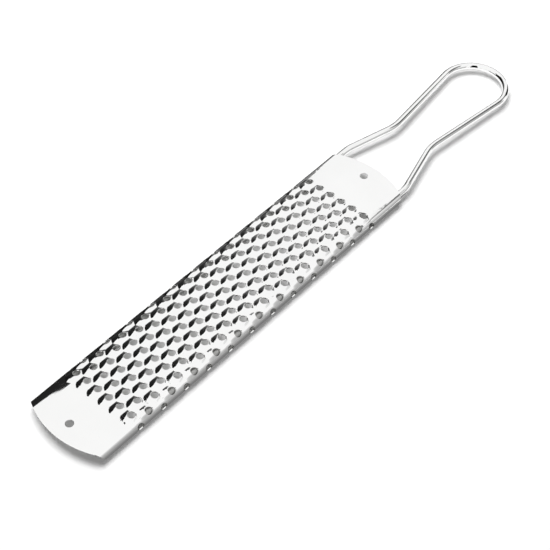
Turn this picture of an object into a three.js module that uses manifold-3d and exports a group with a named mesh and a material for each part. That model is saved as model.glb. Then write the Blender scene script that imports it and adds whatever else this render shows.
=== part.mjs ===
// Flat hand grater: a punched steel sheet whose long sides are rolled round the legs of a bent wire handle.
// Millimetres, +Z up, +X towards the handle. It lies on its rims, and the surface it lies on is z = 0.
import * as THREE from 'three';
import { mergeVertices } from 'three/addons/utils/BufferGeometryUtils.js';
import Module from 'manifold-3d';

const wasm = await Module();
wasm.setup();

// Sheet: lengths along the centreline, the flat width between the two bend lines, the rim's outer radius
const plateLength = 274;
const flatWidth = 49.6;
const sheetThickness = 0.6;
const endRise = 5.5;
const rimRadius = 4.2;
const rimWrapDegrees = 240;
const hangHoleDiameter = 5.2;
const tipHoleInset = 10.6;
const handleHoleInset = 9.6;

// Teeth: staggered rows, measured on the sheet before its sides are rolled; the insets are to hole centres
const toothPitch = 8.7;
const rowPitch = 9.1;
const firstRowInset = 37.3;
const bareTip = 34;
const teethPerWideRow = 8;
const toothHoleDiameter = 4.7;
const toothTail = 7.4;
const toothFront = 3.1;
const toothWidth = 6.9;
const toothHeight = 1.9;
const frontHeight = 1;

// Wire: the reaches are measured from the plate's handle end, the neck between the wire's centrelines
const wireDiameter = 4.8;
const wireClearance = 0.3;
const legSetback = 6;
const shoulderReach = 2;
const shoulderBendRadius = 30;
const neckReach = 39.8;
const neckWidth = 27.6;
const neckBendRadius = 35;
const loopReach = 106.1;
const loopRadius = 21;

// Facets
const toothSides = 6;
const wireSides = 8;
const rimArcSegments = 4;
const endArcSegments = 10;
const wireStepLength = 7;
const hangHoleSides = 16;

// Sizes that follow from the ones above
const wireRadius = wireDiameter / 2;
const bendLine = flatWidth / 2;
const plateHalfWidth = bendLine + rimRadius;
const rowCount = 1 + Math.floor((plateLength - firstRowInset - bareTip) / rowPitch);
const topLevel = 2 * rimRadius;
const wireLevel = topLevel - sheetThickness - wireClearance - wireRadius;
const overallLength = plateLength + loopReach + loopRadius + wireRadius;
const tipEnd = -overallLength / 2;
const handleEnd = tipEnd + plateLength;
const endRadius = (bendLine ** 2 + endRise ** 2) / (2 * endRise);
const cutMargin = 2;

const steel = { metalness: 1, roughness: 0.12 };

function toSolid(geometry) {
  const bare = geometry.clone();
  bare.deleteAttribute('normal');
  bare.deleteAttribute('uv');
  const merged = mergeVertices(bare, 1e-4);
  const vertProperties = new Float32Array(merged.attributes.position.array);
  const triVerts = new Uint32Array(merged.index.array);
  return new wasm.Manifold(new wasm.Mesh({ numProp: 3, vertProperties, triVerts }));
}

function toGeometry(solid) {
  const mesh = solid.getMesh();
  const geometry = new THREE.BufferGeometry();
  geometry.setAttribute('position', new THREE.BufferAttribute(mesh.vertProperties, 3));
  geometry.setIndex(new THREE.BufferAttribute(mesh.triVerts, 1));
  geometry.computeVertexNormals();
  return geometry;
}

function joinAll(solids) {
  return solids.reduce((whole, piece) => whole.add(piece));
}

// A point of the flat blank (height above its top face) moves to its place on the sheet with rolled sides
function rollPoint(point) {
  const past = Math.abs(point.y) - bendLine;
  if (past <= 0) {
    return point.setZ(topLevel + point.z);
  }
  const angle = past / rimRadius;
  const radius = rimRadius + point.z;
  const y = bendLine + radius * Math.sin(angle);
  return point.set(point.x, Math.sign(point.y) * y, rimRadius + radius * Math.cos(angle));
}

function rollGeometry(geometry) {
  const place = geometry.attributes.position;
  const point = new THREE.Vector3();
  for (let i = 0; i < place.count; i += 1) {
    rollPoint(point.fromBufferAttribute(place, i));
    place.setXYZ(i, point.x, point.y, point.z);
  }
  return geometry;
}

// Cross-section of the sheet: a flat top that rolls down and under round the wire on each side
function sheetSection() {
  const innerRadius = rimRadius - sheetThickness;
  const wrap = THREE.MathUtils.degToRad(rimWrapDegrees);
  const top = Math.PI / 2;
  const section = new THREE.Shape();
  section.moveTo(-bendLine, topLevel);
  section.lineTo(bendLine, topLevel);
  section.absarc(bendLine, rimRadius, rimRadius, top, top - wrap, true);
  section.absarc(bendLine, rimRadius, innerRadius, top - wrap, top, false);
  section.lineTo(-bendLine, topLevel - sheetThickness);
  section.absarc(-bendLine, rimRadius, innerRadius, top, top + wrap, false);
  section.absarc(-bendLine, rimRadius, rimRadius, top + wrap, top, true);
  return section;
}

// Plan of the sheet: both ends are arcs that rise from the bend lines to the centreline
function platePlan() {
  const halfWidth = plateHalfWidth + cutMargin;
  const sweep = Math.asin(halfWidth / endRadius);
  const plan = new THREE.Shape();
  plan.absarc(handleEnd - endRadius, 0, endRadius, -sweep, sweep, false);
  plan.absarc(tipEnd + endRadius, 0, endRadius, Math.PI - sweep, Math.PI + sweep, false);
  return plan;
}

function rolledSheet() {
  const rolled = new THREE.ExtrudeGeometry(sheetSection(), {
    depth: plateLength,
    bevelEnabled: false,
    curveSegments: rimArcSegments,
  });
  rolled.rotateX(Math.PI / 2);
  rolled.rotateZ(Math.PI / 2);
  rolled.translate(tipEnd, 0, 0);
  const trim = new THREE.ExtrudeGeometry(platePlan(), {
    depth: topLevel + 2 * cutMargin,
    bevelEnabled: false,
    curveSegments: endArcSegments,
  });
  trim.translate(0, 0, -cutMargin);
  return toSolid(rolled).intersect(toSolid(trim));
}

// One tooth on the flat blank, round its hole's centre: its foot has a long tail and a short front
function toothFoot(angle) {
  const reach = Math.cos(angle) < 0 ? toothTail : toothFront;
  return [reach * Math.cos(angle), (toothWidth / 2) * Math.sin(angle)];
}

function toothRim(angle) {
  return [(toothHoleDiameter / 2) * Math.cos(angle), (toothHoleDiameter / 2) * Math.sin(angle)];
}

// The rim of the hole lies in a slanted plane, highest at the cutting edge on the tail side
function rimHeight(x) {
  const share = 0.5 - x / toothHoleDiameter;
  return frontHeight + (toothHeight - frontHeight) * share;
}

// A drum whose level rings take their places from a function of level, angle and whether on the axis
function shapedDrum(levels, placeOf) {
  const drum = new THREE.CylinderGeometry(1, 1, levels - 1, toothSides, levels - 1);
  drum.rotateX(Math.PI / 2);
  drum.rotateZ(Math.PI / 2);
  const place = drum.attributes.position;
  for (let i = 0; i < place.count; i += 1) {
    const level = Math.round(place.getZ(i) + (levels - 1) / 2);
    const angle = Math.atan2(place.getY(i), place.getX(i));
    const onAxis = Math.hypot(place.getX(i), place.getY(i)) < 0.5;
    place.setXYZ(i, ...placeOf(level, angle, onAxis));
  }
  return drum;
}

function toothBoss(x, y, drop) {
  const boss = shapedDrum(3, (level, angle, onAxis) => {
    const ring = level === 2 ? toothRim(angle) : toothFoot(angle);
    const [px, py] = onAxis ? [0, 0] : ring;
    const heights = [-sheetThickness / 2, 0, rimHeight(px)];
    return [x + px, y + py, heights[level] - drop];
  });
  return toSolid(rollGeometry(boss));
}

function toothHole(x, y) {
  const heights = [-sheetThickness - wireClearance / 2, toothHeight + cutMargin];
  const hole = shapedDrum(2, (level, angle, onAxis) => {
    const [px, py] = onAxis ? [0, 0] : toothRim(angle);
    return [x + px, y + py, heights[level]];
  });
  return toSolid(rollGeometry(hole));
}

function hangHole(x) {
  const depth = topLevel + 2 * cutMargin;
  const hole = new THREE.CylinderGeometry(hangHoleDiameter / 2, hangHoleDiameter / 2, depth, hangHoleSides);
  hole.rotateX(Math.PI / 2);
  hole.translate(x, 0, topLevel);
  return toSolid(hole);
}

// Every other row is one tooth shorter, so its teeth stand between those of its neighbours
function toothPlaces() {
  const places = [];
  for (let row = 0; row < rowCount; row += 1) {
    const count = teethPerWideRow - (row % 2);
    for (let column = 0; column < count; column += 1) {
      const x = handleEnd - firstRowInset - row * rowPitch;
      const y = (column - (count - 1) / 2) * toothPitch;
      places.push([x, y]);
    }
  }
  return places;
}

// On the flat every hole has its raised tooth; round the rolled rims only the holes go on
function gratingPlate() {
  const places = toothPlaces();
  const raised = places.filter(([, y]) => Math.abs(y) < bendLine);
  const bosses = joinAll(raised.map(([x, y]) => toothBoss(x, y, 0)));
  const hollows = joinAll(raised.map(([x, y]) => toothBoss(x, y, sheetThickness)));
  const holes = joinAll(places.map(([x, y]) => toothHole(x, y)));
  const hangHoles = hangHole(tipEnd + tipHoleInset).add(hangHole(handleEnd - handleHoleInset));
  const punched = rolledSheet().add(bosses).subtract(hollows).subtract(holes).subtract(hangHoles);
  const material = new THREE.MeshStandardMaterial({ color: 0xe6e6e4, ...steel });
  const plate = new THREE.Mesh(toGeometry(punched), material);
  plate.name = 'grating_plate';
  return plate;
}

// Straight runs with a round bend of the given radius at each corner between them
function bentPath(corners) {
  const path = new THREE.CurvePath();
  let from = corners[0].point;
  for (let i = 1; i < corners.length - 1; i += 1) {
    const { point, radius } = corners[i];
    const back = corners[i - 1].point.clone().sub(point).normalize();
    const onward = corners[i + 1].point.clone().sub(point).normalize();
    const setback = radius / Math.tan(back.angleTo(onward) / 2);
    const start = point.clone().addScaledVector(back, setback);
    const end = point.clone().addScaledVector(onward, setback);
    path.add(new THREE.LineCurve3(from, start));
    path.add(new RoundBend(start, point, end, radius));
    from = end;
  }
  path.add(new THREE.LineCurve3(from, corners[corners.length - 1].point));
  return path;
}

class RoundBend extends THREE.Curve {
  constructor(start, corner, end, radius) {
    super();
    const middle = start.clone().add(end).multiplyScalar(0.5);
    const inward = middle.clone().sub(corner).normalize();
    this.centre = corner.clone().addScaledVector(inward, Math.hypot(radius, corner.distanceTo(start)));
    this.from = start.clone().sub(this.centre);
    this.turn = this.from.angleTo(end.clone().sub(this.centre));
    this.axis = this.from.clone().cross(end.clone().sub(this.centre)).normalize();
  }

  getPoint(t, target = new THREE.Vector3()) {
    return target.copy(this.from).applyAxisAngle(this.axis, this.turn * t).add(this.centre);
  }
}

function wireHandle() {
  const legEnd = tipEnd + endRise + legSetback;
  const loopCentre = handleEnd + loopReach;
  const neck = new THREE.Vector2(handleEnd + neckReach, neckWidth / 2);
  const span = Math.hypot(loopCentre - neck.x, neck.y);
  const lean = Math.asin(loopRadius / span) - Math.atan2(neck.y, loopCentre - neck.x);
  const loopSide = loopRadius / Math.cos(lean);
  const loopTop = loopCentre + loopRadius;
  const cornerSide = loopSide + loopRadius * Math.tan(lean);
  const half = [
    { x: legEnd, y: bendLine },
    { x: handleEnd + shoulderReach, y: bendLine, radius: shoulderBendRadius },
    { x: neck.x, y: neck.y, radius: neckBendRadius },
    { x: loopTop, y: cornerSide, radius: loopRadius },
  ];
  const there = half.map(({ x, y, radius }) => ({ point: new THREE.Vector3(x, y, wireLevel), radius }));
  const back = half.map(({ x, y, radius }) => ({ point: new THREE.Vector3(x, -y, wireLevel), radius }));
  const path = bentPath([...there, ...back.reverse()]);
  const section = new THREE.Shape();
  section.absarc(0, 0, wireRadius, 0, 2 * Math.PI, false);
  const tube = new THREE.ExtrudeGeometry(section, {
    steps: 2 * Math.round(path.getLength() / (2 * wireStepLength)),
    extrudePath: path,
    curveSegments: wireSides / 2,
  });
  const material = new THREE.MeshStandardMaterial({ color: 0xdcdcda, ...steel });
  const wire = new THREE.Mesh(toGeometry(toSolid(tube)), material);
  wire.name = 'wire_handle';
  return wire;
}

const grater = new THREE.Group();
grater.add(gratingPlate(), wireHandle());
export default grater;
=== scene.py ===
import math
import bpy
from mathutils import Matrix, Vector


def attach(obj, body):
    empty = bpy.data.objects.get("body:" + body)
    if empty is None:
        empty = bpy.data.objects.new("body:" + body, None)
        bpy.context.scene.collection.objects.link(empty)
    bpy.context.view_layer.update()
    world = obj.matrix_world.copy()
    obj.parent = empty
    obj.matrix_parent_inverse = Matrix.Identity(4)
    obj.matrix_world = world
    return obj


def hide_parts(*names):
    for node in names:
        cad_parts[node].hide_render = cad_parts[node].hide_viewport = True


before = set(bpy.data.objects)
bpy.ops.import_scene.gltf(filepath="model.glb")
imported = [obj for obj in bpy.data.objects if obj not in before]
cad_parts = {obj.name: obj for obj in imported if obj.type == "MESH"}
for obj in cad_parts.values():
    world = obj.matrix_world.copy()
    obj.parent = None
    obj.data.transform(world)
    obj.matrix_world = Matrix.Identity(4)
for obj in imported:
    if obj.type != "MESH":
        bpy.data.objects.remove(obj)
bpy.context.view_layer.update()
mm = 0.001
weldGap, fineGap = 0.01 * mm, 0.001 * mm
print("frame loaded:", sorted(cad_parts))


# small helpers that every piece uses
def startPiece():
    if bpy.context.object and bpy.context.object.mode != "OBJECT":
        bpy.ops.object.mode_set(mode="OBJECT")
    bpy.ops.object.select_all(action="DESELECT")


def makeActive(piece):
    startPiece()
    piece.select_set(True)
    bpy.context.view_layer.objects.active = piece


def editMode(kind="VERT"):
    bpy.ops.object.mode_set(mode="EDIT")
    bpy.ops.mesh.select_mode(type=kind)


def objectMode():
    bpy.ops.object.mode_set(mode="OBJECT")


def selectAll():
    bpy.ops.mesh.select_all(action="SELECT")


def selectNone():
    bpy.ops.mesh.select_all(action="DESELECT")


def applyModifier(piece, kind, **values):
    makeActive(piece)
    modifier = piece.modifiers.new(kind.lower(), kind)
    for name, value in values.items():
        setattr(modifier, name, value)
    bpy.ops.object.modifier_apply(modifier=modifier.name)


def addMaterial(piece, material):
    piece.data.materials.clear()
    piece.data.materials.append(material)


def newMaterial(name):
    material = bpy.data.materials.new(name)
    material.use_nodes = True
    return material


def addNode(tree, kind, values=None):
    node = tree.nodes.new("ShaderNode" + kind)
    for name, value in (values or {}).items():
        node.inputs[name].default_value = value
    return node


# eases from 0 at low to 1 at high
def blend(value, low, high):
    share = min(max((value - low) / (high - low), 0), 1)
    return share * share * (3 - 2 * share)


# what all the steel finishes share
steel = {"lineDetail": 3.0, "hazeDetail": 4.0, "hazeLow": 0.3, "hazeHigh": 0.7}


# polished steel: near mirror, with faint polishing lines and uneven gloss
def polishedSteel(name, finish):
    material = newMaterial(name)
    tree = material.node_tree
    link = tree.links.new
    shader = tree.nodes["Principled BSDF"]
    shader.inputs["Metallic"].default_value = 1.0
    place = addNode(tree, "TexCoord")
    stretch = addNode(tree, "Mapping", {"Scale": finish["lineStretch"]})
    lines = addNode(tree, "TexNoise", {"Scale": finish["lineScale"], "Detail": steel["lineDetail"]})
    haze = addNode(tree, "TexNoise", {"Scale": finish["hazeScale"], "Detail": steel["hazeDetail"]})
    gloss = addNode(tree, "MapRange", {
        "From Min": steel["hazeLow"], "From Max": steel["hazeHigh"],
        "To Min": finish["roughLow"], "To Max": finish["roughHigh"]})
    tint = addNode(tree, "ValToRGB")
    ends = ((steel["hazeLow"], finish["dullColour"]), (steel["hazeHigh"], finish["brightColour"]))
    for stop, (at, colour) in zip(tint.color_ramp.elements, ends):
        stop.position = at
        stop.color = (*colour, 1)
    relief = addNode(tree, "Bump", {"Strength": finish["lineStrength"], "Distance": finish["lineDepth"]})
    link(place.outputs["Object"], stretch.inputs["Vector"])
    link(stretch.outputs["Vector"], lines.inputs["Vector"])
    link(place.outputs["Object"], haze.inputs["Vector"])
    link(haze.outputs["Fac"], gloss.inputs["Value"])
    link(gloss.outputs["Result"], shader.inputs["Roughness"])
    link(haze.outputs["Fac"], tint.inputs["Fac"])
    link(tint.outputs["Color"], shader.inputs["Base Color"])
    link(lines.outputs["Fac"], relief.inputs["Height"])
    link(relief.outputs["Normal"], shader.inputs["Normal"])
    return material


# grating plate: a flat punched blank whose long sides are then rolled under (millimetres and degrees)
plate = {
    "length": 274, "thickness": 0.6, "flatWidth": 49.6, "endRise": 5.5, "tipEnd": -201.75, "topLevel": 8.4,
    "shoulderFrom": 22.0, "shoulderWidth": 3.8, "shoulderLean": 12, "bendRadius": 4.0, "rimWrap": 240,
    "shoulderSteps": 3, "rimStep": 10, "endSteps": 20,
    "hangHole": 5.2, "tipHoleInset": 10.6, "handleHoleInset": 9.6, "hangHoleSides": 40,
    "rimToothFrom": 25.0, "rimToothTo": 28.4,
    "crown": 0.93, "crownFlat": 18.5, "crownEdge": 26.0, "crownTip": (-200, -170), "crownHandle": (66, 40),
    "crownCuts": [18.5, 19.3, 20.1, 20.9, 21.5],
    "tipCuts": (-198, 2.5, 12), "handleCuts": (41, 4, 7),  # first place, step, how many
    "smoothAngle": 48, "normalWeight": 50,
    "polish": {
        "lineStretch": (1, 40, 1), "lineScale": 60, "lineStrength": 0.02, "lineDepth": 0.0004,
        "hazeScale": 35, "roughLow": 0.045, "roughHigh": 0.085,
        "dullColour": (0.915, 0.915, 0.91), "brightColour": (0.945, 0.945, 0.94)},
    # the back is rougher than the top, and its colour is darkened as a painted shade that deepens the shadow
    # under the plate and in the holes
    "back": {
        "lineStretch": (1, 40, 1), "lineScale": 60, "lineStrength": 0.05, "lineDepth": 0.0004,
        "hazeScale": 35, "roughLow": 0.3, "roughHigh": 0.4,
        "dullColour": (0.68, 0.68, 0.67), "brightColour": (0.76, 0.76, 0.75)},
}
topLevel = plate["topLevel"]
handleEnd = plate["tipEnd"] + plate["length"]
halfFlat = plate["flatWidth"] / 2
endRadius = (halfFlat ** 2 + plate["endRise"] ** 2) / (2 * plate["endRise"])
shoulderTurn = math.radians(plate["shoulderLean"])
underTurn = math.radians(plate["rimWrap"] - 90)
bendFrom = plate["shoulderFrom"] + plate["shoulderWidth"]
wallFrom = bendFrom + plate["bendRadius"] * (math.pi / 2 - shoulderTurn)
shoulderDrop = plate["shoulderWidth"] / shoulderTurn * (1 - math.cos(shoulderTurn))
sideWall = topLevel - shoulderDrop - plate["bendRadius"] * (1 + math.cos(shoulderTurn))
wallTo = wallFrom + sideWall
blankEdge = wallTo + plate["bendRadius"] * underTurn
# the rolled side as runs of (length, turn), from the middle of the sheet outwards
sideRuns = [
    (plate["shoulderFrom"], 0), (plate["shoulderWidth"], shoulderTurn),
    (wallFrom - bendFrom, math.pi / 2 - shoulderTurn), (sideWall, 0), (blankEdge - wallTo, underTurn),
]

# one tooth round its hole: each ring runs from the front to the tail on one side, as (x, y, height)
tooth = {
    "pitch": 8.7, "rowPitch": 9.1, "firstRowInset": 37.3, "rows": 23, "wideRow": 8,
    "rings": [
        [(2.7, 0, 0.34), (2.38, 0.98, 0.36), (1.6, 1.78, 0.42), (0.7, 2.2, 0.5), (-0.3, 2.24, 0.6),
         (-1.2, 1.92, 0.72), (-1.86, 1.34, 0.82), (-2.2, 0.7, 0.88), (-2.3, 0, 0.9)],
        [(2.9, 0, 0.28), (2.56, 1.07, 0.3), (1.72, 1.98, 0.35), (0.8, 2.55, 0.42), (-0.6, 2.66, 0.56),
         (-1.9, 1.9, 0.78), (-3.4, 1.05, 0.9), (-5.0, 0.55, 0.85), (-5.9, 0, 0.78)],
        [(3.1, 0, 0.13), (2.74, 1.13, 0.14), (1.83, 2.22, 0.17), (0.95, 3.05, 0.22), (-0.9, 3.2, 0.33),
         (-2.5, 2.82, 0.45), (-4.3, 2.25, 0.46), (-6.0, 1.4, 0.36), (-6.8, 0, 0.32)],
        [(3.4, 0, 0.02), (2.93, 1.14, 0.02), (1.93, 2.45, 0.02), (1.1, 3.8, 0.03), (-1.3, 3.85, 0.05),
         (-3.85, 3.95, 0.05), (-5.6, 3.08, 0.05), (-6.87, 1.68, 0.05), (-7.45, 0, 0.04)],
        [(4.7, 0, 0), (3.18, 1.17, 0), (2.02, 2.62, 0), (1.2, 4.35, 0), (-1.6, 4.35, 0),
         (-4.4, 4.35, 0), (-5.92, 3.18, 0), (-7.08, 1.73, 0), (-7.9, 0, 0)],
    ],
}


def buildTooth():
    rings = tooth["rings"]
    half = len(rings[0]) - 1
    startPiece()
    bpy.ops.mesh.primitive_circle_add(vertices=2 * half, radius=1)
    piece = bpy.context.object
    editMode("EDGE")
    selectAll()
    for ring in range(1, len(rings)):
        bpy.ops.mesh.extrude_region_move()
        grow = (ring + 1) / ring
        bpy.ops.transform.resize(value=(grow, grow, grow), center_override=(0, 0, 0))
    objectMode()
    # ring and turn of each corner tell where it goes
    for vertex in piece.data.vertices:
        ring = round(vertex.co.length) - 1
        turn = round(math.atan2(vertex.co.y, vertex.co.x) / math.pi * half)
        x, y, height = rings[ring][abs(turn)]
        side = -1 if turn < 0 else 1
        vertex.co = Vector((x, side * y, height)) * mm
    return piece


# every second row: firstRow 0 has the wide rows, 1 the ones between
def toothField(model, firstRow):
    count = tooth["wideRow"] - firstRow
    rows = (tooth["rows"] + 1 - firstRow) // 2
    makeActive(model)
    bpy.ops.object.duplicate()
    field = bpy.context.object
    for step, copies in (((0, tooth["pitch"], 0), count), ((-2 * tooth["rowPitch"], 0, 0), rows)):
        applyModifier(
            field, "ARRAY", count=copies, use_relative_offset=False, use_constant_offset=True,
            constant_offset_displace=Vector(step) * mm, use_merge_vertices=True, merge_threshold=weldGap)
    x = handleEnd - tooth["firstRowInset"] - firstRow * tooth["rowPitch"]
    y = -(count - 1) / 2 * tooth["pitch"]
    field.location = (x * mm, y * mm, 0)
    makeActive(field)
    bpy.ops.object.transform_apply(location=True, rotation=False, scale=False)
    return field


# the punched field stands a little proud of the bare ends and falls away ever steeper to the rims
def crownAt(x, across):
    along = blend(x, *plate["crownTip"]) * blend(x, *plate["crownHandle"])
    fall = (abs(across) - plate["crownFlat"]) / (plate["crownEdge"] - plate["crownFlat"])
    fall = min(max(fall, 0), 1)
    return plate["crown"] * along * (1 - (4 * fall + 3 * fall * fall) / 7)


# where a place on the blank comes to lie: plan half width, level, and how far the sheet has turned
def rollAt(past):
    width, level, turn = 0, topLevel, 0
    for length, bend in sideRuns:
        share = min(past / length, 1)
        if bend:
            radius, after = length / bend, turn + bend * share
            width += radius * (math.sin(after) - math.sin(turn))
            level -= radius * (math.cos(turn) - math.cos(after))
            turn = after
        else:
            width += length * share * math.cos(turn)
            level -= length * share * math.sin(turn)
        past -= length
        if past <= 0:
            break
    return width, level, turn


# the lines across which the blank bends, from the shoulder to its edge
def rimPlaces():
    step = plate["bendRadius"] * math.radians(plate["rimStep"])
    steps = plate["shoulderSteps"]
    places = [plate["shoulderFrom"] + plate["shoulderWidth"] * i / steps for i in range(steps)]
    for low, high in ((bendFrom, wallFrom), (wallTo, blankEdge)):
        count = round((high - low) / step)
        places += [low + (high - low) * i / count for i in range(count + 1)]
    return places


def blankOutline():
    inner = plate["shoulderFrom"]
    flat = [-inner + 2 * inner * i / plate["endSteps"] for i in range(1, plate["endSteps"])]
    across = [-place for place in reversed(rimPlaces())] + flat + rimPlaces()
    drop = [endRadius - math.sqrt(endRadius ** 2 - place ** 2) for place in across]
    handleSide = [(handleEnd - rise, place) for rise, place in zip(drop, across)]
    tipSide = [(plate["tipEnd"] + rise, place) for rise, place in zip(drop, across)]
    return handleSide + tipSide[::-1]


def addLoop(points):
    startPiece()
    bpy.ops.mesh.primitive_circle_add(vertices=len(points), radius=1)
    loop = bpy.context.object
    order = sorted(loop.data.vertices, key=lambda v: math.atan2(v.co.y, v.co.x))
    for vertex, (x, y) in zip(order, points):
        vertex.co = Vector((x, y, 0)) * mm
    return loop


def hangHolePoints(x):
    sides, radius = plate["hangHoleSides"], plate["hangHole"] / 2
    turns = [2 * math.pi * i / sides for i in range(sides)]
    return [(x + radius * math.cos(a), radius * math.sin(a)) for a in turns]


# the teeth, the cut edge and the hang holes as one mesh, with the bare sheet still open
def layOutBlank():
    model = buildTooth()
    fields = [toothField(model, firstRow) for firstRow in (0, 1)]
    bpy.data.objects.remove(model)
    loops = [
        addLoop(blankOutline()),
        addLoop(hangHolePoints(plate["tipEnd"] + plate["tipHoleInset"])),
        addLoop(hangHolePoints(handleEnd - plate["handleHoleInset"])),
    ]
    makeActive(fields[0])
    for other in fields[1:] + loops:
        other.select_set(True)
    bpy.ops.object.join()
    piece = bpy.context.object
    piece.name = "gratingPlateSheet"
    editMode("VERT")
    selectAll()
    bpy.ops.mesh.remove_doubles(threshold=weldGap)
    return piece


# fills the bare sheet between the teeth, the hang holes and the cut edge
def fillBlank(piece):
    editMode("EDGE")
    selectNone()
    bpy.ops.mesh.select_non_manifold(
        extend=False, use_wire=True, use_boundary=True,
        use_multi_face=False, use_non_contiguous=False, use_verts=False)
    objectMode()
    # the raised lips of the tooth holes stay open
    for edge in piece.data.edges:
        if any(piece.data.vertices[i].co.z > fineGap for i in edge.vertices):
            edge.select = False
    editMode("EDGE")
    bpy.ops.mesh.fill(use_beauty=True)
    selectAll()
    bpy.ops.mesh.normals_make_consistent(inside=False)
    objectMode()
    if sum(face.normal.z * face.area for face in piece.data.polygons) < 0:
        editMode("FACE")
        selectAll()
        bpy.ops.mesh.flip_normals()
        objectMode()


# edges along every line where the sheet will bend or start to crown
def cutBlank():
    across = [side * place for side in (-1, 1) for place in rimPlaces()[:-1] + plate["crownCuts"]]
    cuts = [(0, place, (0, 1, 0)) for place in across]
    for first, step, count in (plate["tipCuts"], plate["handleCuts"]):
        cuts += [(first + step * i, 0, (1, 0, 0)) for i in range(count)]
    editMode("FACE")
    for x, y, normal in cuts:
        selectAll()
        bpy.ops.mesh.bisect(plane_co=(x * mm, y * mm, 0), plane_no=normal, threshold=fineGap)
    objectMode()


# teeth flatten out where the sides are rolled, and the field is crowned
def crownBlank(piece):
    for vertex in piece.data.vertices:
        across = abs(vertex.co.y) / mm
        share = 1 - blend(across, plate["rimToothFrom"], plate["rimToothTo"])
        vertex.co.z = vertex.co.z * share + crownAt(vertex.co.x / mm, across) * mm


# rolls the sides under, and turns the smoothed normals with them
def rollSides(piece):
    mesh = piece.data
    normals = [Vector(corner.vector) for corner in mesh.corner_normals]
    turns = []
    for vertex in mesh.vertices:
        side = 1 if vertex.co.y > 0 else -1
        width, level, turn = rollAt(abs(vertex.co.y) / mm)
        height = vertex.co.z
        vertex.co.y = side * (width * mm + height * math.sin(turn))
        vertex.co.z = level * mm + height * math.cos(turn)
        turns.append(side * turn)
    for loop in mesh.loops:
        a = turns[loop.vertex_index]
        n = normals[loop.index]
        normals[loop.index] = Vector((
            n.x, n.y * math.cos(a) + n.z * math.sin(a), n.z * math.cos(a) - n.y * math.sin(a)))
    mesh.normals_split_custom_set(normals)


def buildPlate():
    piece = layOutBlank()
    fillBlank(piece)
    cutBlank()
    crownBlank(piece)
    print("blank cut:", len(piece.data.polygons), "faces")
    addMaterial(piece, polishedSteel("polishedSheet", plate["polish"]))
    # back material: rougher, with its colour darkened as painted shade under the plate
    piece.data.materials.append(polishedSteel("roughBackPaintedShade", plate["back"]))  # the back has no polish
    applyModifier(
        piece, "SOLIDIFY", thickness=plate["thickness"] * mm, offset=-1, use_even_offset=False, use_rim=True,
        material_offset=1)
    makeActive(piece)
    bpy.ops.object.shade_smooth_by_angle(angle=math.radians(plate["smoothAngle"]))
    applyModifier(
        piece, "WEIGHTED_NORMAL", mode="FACE_AREA_WITH_ANGLE", weight=plate["normalWeight"], keep_sharp=True)
    rollSides(piece)
    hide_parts("grating_plate")
    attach(piece, "root")
    print("plate rolled:", len(piece.data.polygons), "faces")


# wire handle: one leg is drawn along its bends from rim to loop end, then mirrored (millimetres and degrees)
wire = {
    "diameter": 4.8, "clearance": 0.3, "sides": 28, "legSetback": 6,
    "shoulderReach": 2, "shoulderRadius": 30, "neckReach": 39.8, "neckWidth": 28.8, "neckRadius": 30,
    "loopReach": 105.5, "loopRadius": 21.6, "bendStep": 2.5, "leastSteps": 3,
    "endBevel": 0.6, "endBevelSteps": 3, "smoothAngle": 40,
    "lift": 1.5, "liftRise": (67, 84), "liftFall": (108, 188),
    "polish": {
        "lineStretch": (1, 1, 1), "lineScale": 180, "lineStrength": 0.02, "lineDepth": 0.0003,
        "hazeScale": 60, "roughLow": 0.05, "roughHigh": 0.09,
        "dullColour": (0.90, 0.90, 0.895), "brightColour": (0.94, 0.94, 0.935)},
    # legs inside the rims get a darker colour, a painted shade, and more roughness
    "dullShadeInset": 14, "polishInset": 9, "legShadeColour": (0.5, 0.5, 0.49), "legRough": 0.55,
}


# each bend as (corner, radius, heading before, heading after); the last corner is the centre of the loop end
def wireBends():
    loopCentre = Vector((handleEnd + wire["loopReach"], 0))
    neck = Vector((handleEnd + wire["neckReach"], wire["neckWidth"] / 2))
    shoulder = Vector((handleEnd + wire["shoulderReach"], halfFlat))
    span = (loopCentre - neck).length
    spread = math.asin(wire["loopRadius"] / span) - math.atan2(neck.y, loopCentre.x - neck.x)
    draw = math.atan2(neck.y - shoulder.y, neck.x - shoulder.x)
    return [
        (shoulder, wire["shoulderRadius"], 0, draw),
        (neck, wire["neckRadius"], draw, spread),
        (loopCentre, wire["loopRadius"], spread, -math.pi / 2),
    ]


# inside the rims the legs are rougher, and their colour is darkened as a painted shade for the wire seen deep in
# the rims through the holes
def shadeLegsInRims(material):
    tree = material.node_tree
    link = tree.links.new
    shader = tree.nodes["Principled BSDF"]
    coords = addNode(tree, "TexCoord")
    split = addNode(tree, "SeparateXYZ")
    link(coords.outputs["Object"], split.inputs["Vector"])
    # 0 inside the rim, where the painted shade and the roughness sit, rising to 1 where the wire is polished
    polish = addNode(tree, "MapRange", {
        "From Min": (handleEnd - wire["dullShadeInset"]) * mm, "From Max": (handleEnd - wire["polishInset"]) * mm})
    link(split.outputs["X"], polish.inputs["Value"])
    dullRough = (wire["legRough"],) * 3
    for socket, insideRimValue in (("Base Color", wire["legShadeColour"]), ("Roughness", dullRough)):
        polished = shader.inputs[socket].links[0].from_socket
        mix = tree.nodes.new("ShaderNodeMix")
        mix.data_type = "RGBA"
        mix.inputs["A"].default_value = (*insideRimValue, 1)
        link(polish.outputs["Result"], mix.inputs["Factor"])
        link(polished, mix.inputs["B"])
        link(mix.outputs["Result"], shader.inputs[socket])


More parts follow.
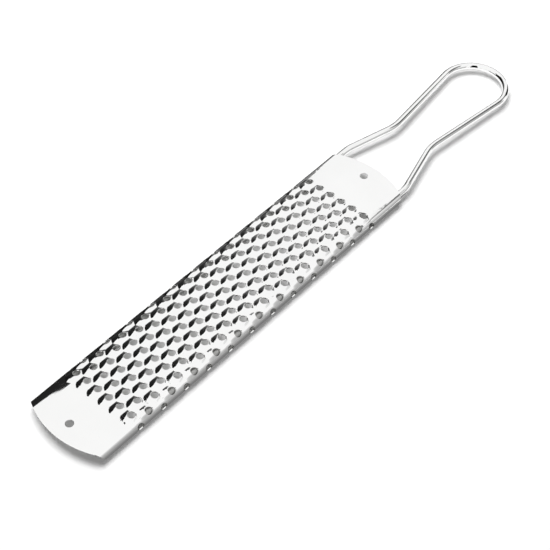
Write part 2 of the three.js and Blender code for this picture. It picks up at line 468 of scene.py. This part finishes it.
# draws the selected end face from the leg's end to the middle of the loop (spin counts clockwise)
def drawHalfWire(legEnd, level):
    at = Vector((legEnd, halfFlat))
    bends = wireBends()
    for i, (corner, radius, before, after) in enumerate(bends):
        turn = after - before
        heading = Vector((math.cos(before), math.sin(before)))
        leftward = Vector((-heading.y, heading.x))
        if i < len(bends) - 1:
            start = corner - heading * radius * math.tan(abs(turn) / 2)
            centre = start + leftward * math.copysign(radius, turn)
        else:
            centre = corner
            start = centre + leftward * radius
        run = start - at
        bpy.ops.mesh.extrude_region_move(TRANSFORM_OT_translate={"value": (run.x * mm, run.y * mm, 0)})
        steps = max(wire["leastSteps"], math.ceil(abs(turn) * radius / wire["bendStep"]))
        bpy.ops.mesh.spin(
            steps=steps, angle=-turn, center=(centre.x * mm, centre.y * mm, level * mm), axis=(0, 0, 1))
        arm = start - centre
        at = centre + Vector((
            arm.x * math.cos(turn) - arm.y * math.sin(turn), arm.x * math.sin(turn) + arm.y * math.cos(turn)))


def buildWire():
    level = topLevel - plate["thickness"] - wire["clearance"] - wire["diameter"] / 2
    legEnd = plate["tipEnd"] + plate["endRise"] + wire["legSetback"]
    startPiece()
    bpy.ops.mesh.primitive_circle_add(
        vertices=wire["sides"], radius=wire["diameter"] / 2 * mm, fill_type="NGON",
        location=(legEnd * mm, halfFlat * mm, level * mm), rotation=(0, math.pi / 2, 0))
    piece = bpy.context.object
    piece.name = "wireHandleLoop"
    bpy.ops.object.transform_apply(location=True, rotation=True, scale=False)
    editMode("FACE")
    selectAll()
    drawHalfWire(legEnd, level)
    bpy.ops.mesh.delete(type="ONLY_FACE")
    selectAll()
    bpy.ops.mesh.remove_doubles(threshold=fineGap)
    bpy.ops.mesh.normals_make_consistent(inside=False)
    objectMode()
    applyModifier(
        piece, "MIRROR", use_axis=(False, True, False), use_mirror_merge=True, merge_threshold=weldGap)
    makeActive(piece)
    editMode("FACE")
    selectAll()
    bpy.ops.mesh.normals_make_consistent(inside=False)
    selectNone()
    objectMode()
    # only the cut ends have more than four corners
    for face in piece.data.polygons:
        face.select = len(face.vertices) > 4
    editMode("FACE")
    bpy.ops.mesh.bevel(offset=wire["endBevel"] * mm, segments=wire["endBevelSteps"], affect="EDGES")
    objectMode()
    # the handle stands up a little at its neck and comes down again to the loop end
    for vertex in piece.data.vertices:
        x = vertex.co.x / mm
        vertex.co.z += wire["lift"] * mm * blend(x, *wire["liftRise"]) * (1 - blend(x, *wire["liftFall"]))
    bpy.ops.object.shade_smooth_by_angle(angle=math.radians(wire["smoothAngle"]))
    material = polishedSteel("polishedWire", wire["polish"])
    # darkens the legs inside the rims: painted shade
    shadeLegsInRims(material)
    addMaterial(piece, material)
    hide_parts("wire_handle")
    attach(piece, "root")
    print("wire bent:", len(piece.data.polygons), "faces")


# studio: white floor and surroundings, one soft lamp behind, dark cards seen only in reflections that draw the
# edges of the steel as painted dark reflections (metres)
studio = {
    "floorSize": 2.6, "floorColour": (0.95, 0.95, 0.95), "floorGlow": 0.08, "roomLevel": 0.19,
    "lampTowards": (0.08, 0.27, 0.955), "lampDistance": 2.2, "lampSize": 1.5, "lampPower": 51,
    "cardSteps": 40,
}
# dark sheets beside the grater, seen only in reflections as painted dark reflections, as (x, y) corners; shades
# are (place, shade) along an axis
darkSheets = {
    "leftSheet": {
        "low": (-0.6, 0.036), "high": (0.5, 0.95), "level": 0.0003, "over": "X",
        "shades": [(-0.3, 0.01), (-0.05, 0.03), (0.08, 0.05), (0.5, 0.05)]},
    # stands for the floor's shadow beside the right rim, seen only in reflections: a painted shadow, darkest next
    # to the rim
    "rightShadowSheet": {
        "low": (-0.6, -1.1), "high": (0.078, -0.024), "level": 0.0003, "over": "Y",
        "shades": [(-0.06, 0.38), (-0.046, 0.34), (-0.036, 0.26), (-0.03, 0.19)]},
}
# tops are (bearing, elevation) pairs, in degrees
darkCards = {
    "farCard": {
        "centre": (-0.05, 0), "radius": 0.9, "low": -0.02, "over": "X",
        "shades": [(0.0, 0.01), (0.27, 0.022), (0.38, 0.09), (0.47, 0.2), (0.58, 0.36)],
        "tops": [(-70, 20), (-32, 20), (-24, 49), (35, 49), (38, 17), (45, 17)]},
    "wireCard": {
        "centre": (-0.05, 0), "radius": 0.92, "low": -0.02, "over": "X",
        "shades": [(0.5, 0.04), (0.9, 0.04)], "tops": [(38, 18), (52, 18), (58, 11), (85, 11)]},
    "frontCard": {
        "centre": (-0.05, 0), "radius": 1.1, "low": 0.0, "over": "Z",
        "shades": [(0.0, 0.36), (0.38, 0.52), (0.95, 0.86)], "tops": [(125, 42), (194, 42)]},
    "nearStrip": {
        "centre": (0, 0), "radius": 0.3, "low": 0.09, "over": "X",
        "shades": [(0.25, 0.45), (0.27, 0.3), (0.288, 0.08), (0.3, 0.03)], "tops": [(96, 50), (125, 50)]},
    "sideCard": {
        "centre": (-0.05, 0), "radius": 1.0, "low": -0.02, "over": "Z",
        "shades": [(0.0, 0.01), (1.0, 0.01)], "tops": [(90, 32), (110, 32)]},
    "lowCard": {
        "centre": (-0.05, 0), "radius": 1.0, "low": -0.02, "over": "Z",
        "shades": [(0.0, 0.01), (1.0, 0.01)], "tops": [(210, 72), (240, 72)]},
}


# one level for what the camera sees straight, mirrored or through glass, another for the light that falls
def seenDirectly(tree, fallen, seen):
    path = addNode(tree, "LightPath")
    either = path.outputs["Is Camera Ray"]
    for kind in ("Is Glossy Ray", "Is Transmission Ray"):
        most = addNode(tree, "Math")
        most.operation = "MAXIMUM"
        tree.links.new(either, most.inputs[0])
        tree.links.new(path.outputs[kind], most.inputs[1])
        either = most.outputs[0]
    level = addNode(tree, "MapRange", {"To Min": fallen, "To Max": seen})
    tree.links.new(either, level.inputs["Value"])
    return level.outputs["Result"]


def buildFloor():
    startPiece()
    bpy.ops.mesh.primitive_plane_add(size=studio["floorSize"])
    floor = bpy.context.object
    floor.name = "studioFloor"
    material = newMaterial("palePaper")
    tree = material.node_tree
    shader = tree.nodes["Principled BSDF"]
    shader.inputs["Base Color"].default_value = (*studio["floorColour"], 1)
    shader.inputs["Roughness"].default_value = 1.0
    shader.inputs["Specular IOR Level"].default_value = 0.0
    shader.inputs["Emission Color"].default_value = (1, 1, 1, 1)
    tree.links.new(seenDirectly(tree, 0, studio["floorGlow"]), shader.inputs["Emission Strength"])
    addMaterial(floor, material)


# cards and sheets that only reflections see: painted reflections
def mirroredOnly(piece):
    piece.visible_camera = False
    piece.visible_diffuse = False
    piece.visible_shadow = False


# a shade that changes along one axis, for places between -1 and 1 metre
def fadedShade(name, card):
    material = newMaterial(name + "Paint")
    tree = material.node_tree
    link = tree.links.new
    tree.nodes.clear()
    coords = addNode(tree, "TexCoord")
    split = addNode(tree, "SeparateXYZ")
    place = addNode(tree, "MapRange", {"From Min": -1, "From Max": 1})
    ramp = addNode(tree, "ValToRGB")
    stops = ramp.color_ramp.elements
    while len(stops) < len(card["shades"]):
        stops.new(1.0)
    for stop, (at, shade) in zip(stops, card["shades"]):
        stop.position = (at + 1) / 2
        stop.color = (shade, shade, shade, 1)
    glow = addNode(tree, "Emission")
    out = addNode(tree, "OutputMaterial")
    link(coords.outputs["Object"], split.inputs["Vector"])
    link(split.outputs[card["over"]], place.inputs["Value"])
    link(place.outputs["Result"], ramp.inputs["Fac"])
    link(ramp.outputs["Color"], glow.inputs["Color"])
    link(glow.outputs["Emission"], out.inputs["Surface"])
    return material


def buildSheet(name, sheet):
    startPiece()
    (x0, y0), (x1, y1) = sheet["low"], sheet["high"]
    bpy.ops.mesh.primitive_plane_add(size=1, location=((x0 + x1) / 2, (y0 + y1) / 2, sheet["level"]))
    piece = bpy.context.object
    piece.name = name
    piece.scale = (x1 - x0, y1 - y0, 1)
    bpy.ops.object.transform_apply(location=True, rotation=True, scale=True)
    addMaterial(piece, fadedShade(name, sheet))
    mirroredOnly(piece)


# elevation of a card's top at a bearing
def topAt(tops, bearing):
    for (b0, e0), (b1, e1) in zip(tops, tops[1:]):
        if bearing <= b1 + 0.01:
            break
    return e0 + (e1 - e0) * (bearing - b0) / (b1 - b0)


# a card stands on an arc round the grater; its bearing is measured from +Y towards +X
def buildCard(name, card):
    startPiece()
    x0, y0 = card["centre"]
    tops, radius, rise = card["tops"], card["radius"], 1
    firstBearing, lastBearing = tops[0][0], tops[-1][0]
    start = math.radians(firstBearing)
    place = (x0 + radius * math.sin(start), y0 + radius * math.cos(start))
    bpy.ops.mesh.primitive_plane_add(size=1, location=(*place, card["low"]))
    piece = bpy.context.object
    piece.name = name
    editMode("VERT")
    selectAll()
    bpy.ops.mesh.merge(type="CENTER")
    bpy.ops.mesh.extrude_region_move(TRANSFORM_OT_translate={"value": (0, 0, rise)})
    selectAll()
    sweep = math.radians(lastBearing - firstBearing)
    bpy.ops.mesh.spin(steps=studio["cardSteps"], angle=sweep, center=(x0, y0, 0), axis=(0, 0, 1))
    objectMode()
    bpy.ops.object.transform_apply(location=True, rotation=True, scale=True)
    # the upper edge is then cut to the card's tops
    for vertex in piece.data.vertices:
        if vertex.co.z < card["low"] + rise / 2:
            continue
        bearing = math.degrees(math.atan2(vertex.co.x - x0, vertex.co.y - y0))
        if bearing < firstBearing - 1:
            bearing += 360
        vertex.co.z = radius * math.tan(math.radians(topAt(tops, bearing)))
    addMaterial(piece, fadedShade(name, card))
    mirroredOnly(piece)


def buildLight():
    towards = Vector(studio["lampTowards"]).normalized()
    startPiece()
    bpy.ops.object.light_add(type="AREA", location=towards * studio["lampDistance"])
    lamp = bpy.context.object
    lamp.rotation_euler = towards.to_track_quat("Z", "Y").to_euler()
    lamp.data.shape = "SQUARE"
    lamp.data.size = studio["lampSize"]
    lamp.data.energy = studio["lampPower"]
    lamp.visible_glossy = False
    lamp.visible_camera = False
    world = bpy.data.worlds.new("whiteRoom")
    bpy.context.scene.world = world
    world.use_nodes = True
    tree = world.node_tree
    room = tree.nodes["Background"]
    room.inputs["Color"].default_value = (1, 1, 1, 1)
    tree.links.new(seenDirectly(tree, studio["roomLevel"], 1.0), room.inputs["Strength"])


# camera: angles in degrees, lens and sensor in millimetres, the rest in metres
view = {
    "azimuth": -48.425, "elevation": 49.138, "distance": 0.8991, "target": (-0.0360, -0.01272, 0.0084),
    "lens": 99.09, "sensor": 36, "clip": (0.01, 50),
}


def buildCamera():
    a, e = math.radians(view["azimuth"]), math.radians(view["elevation"])
    back = Vector((math.sin(a) * math.cos(e), -math.cos(a) * math.cos(e), math.sin(e)))
    startPiece()
    bpy.ops.object.camera_add(location=Vector(view["target"]) + back * view["distance"])
    camera = bpy.context.object
    camera.rotation_euler = back.to_track_quat("Z", "Y").to_euler()
    camera.data.sensor_width = view["sensor"]
    camera.data.lens = view["lens"]
    camera.data.clip_start, camera.data.clip_end = view["clip"]
    bpy.context.scene.camera = camera


buildPlate()
buildWire()
buildFloor()
for cardName, cardSizes in darkCards.items():
    buildCard(cardName, cardSizes)
for sheetName, sheetSizes in darkSheets.items():
    buildSheet(sheetName, sheetSizes)
buildLight()
buildCamera()
bpy.context.scene.view_settings.view_transform = "Standard"
print("studio ready")
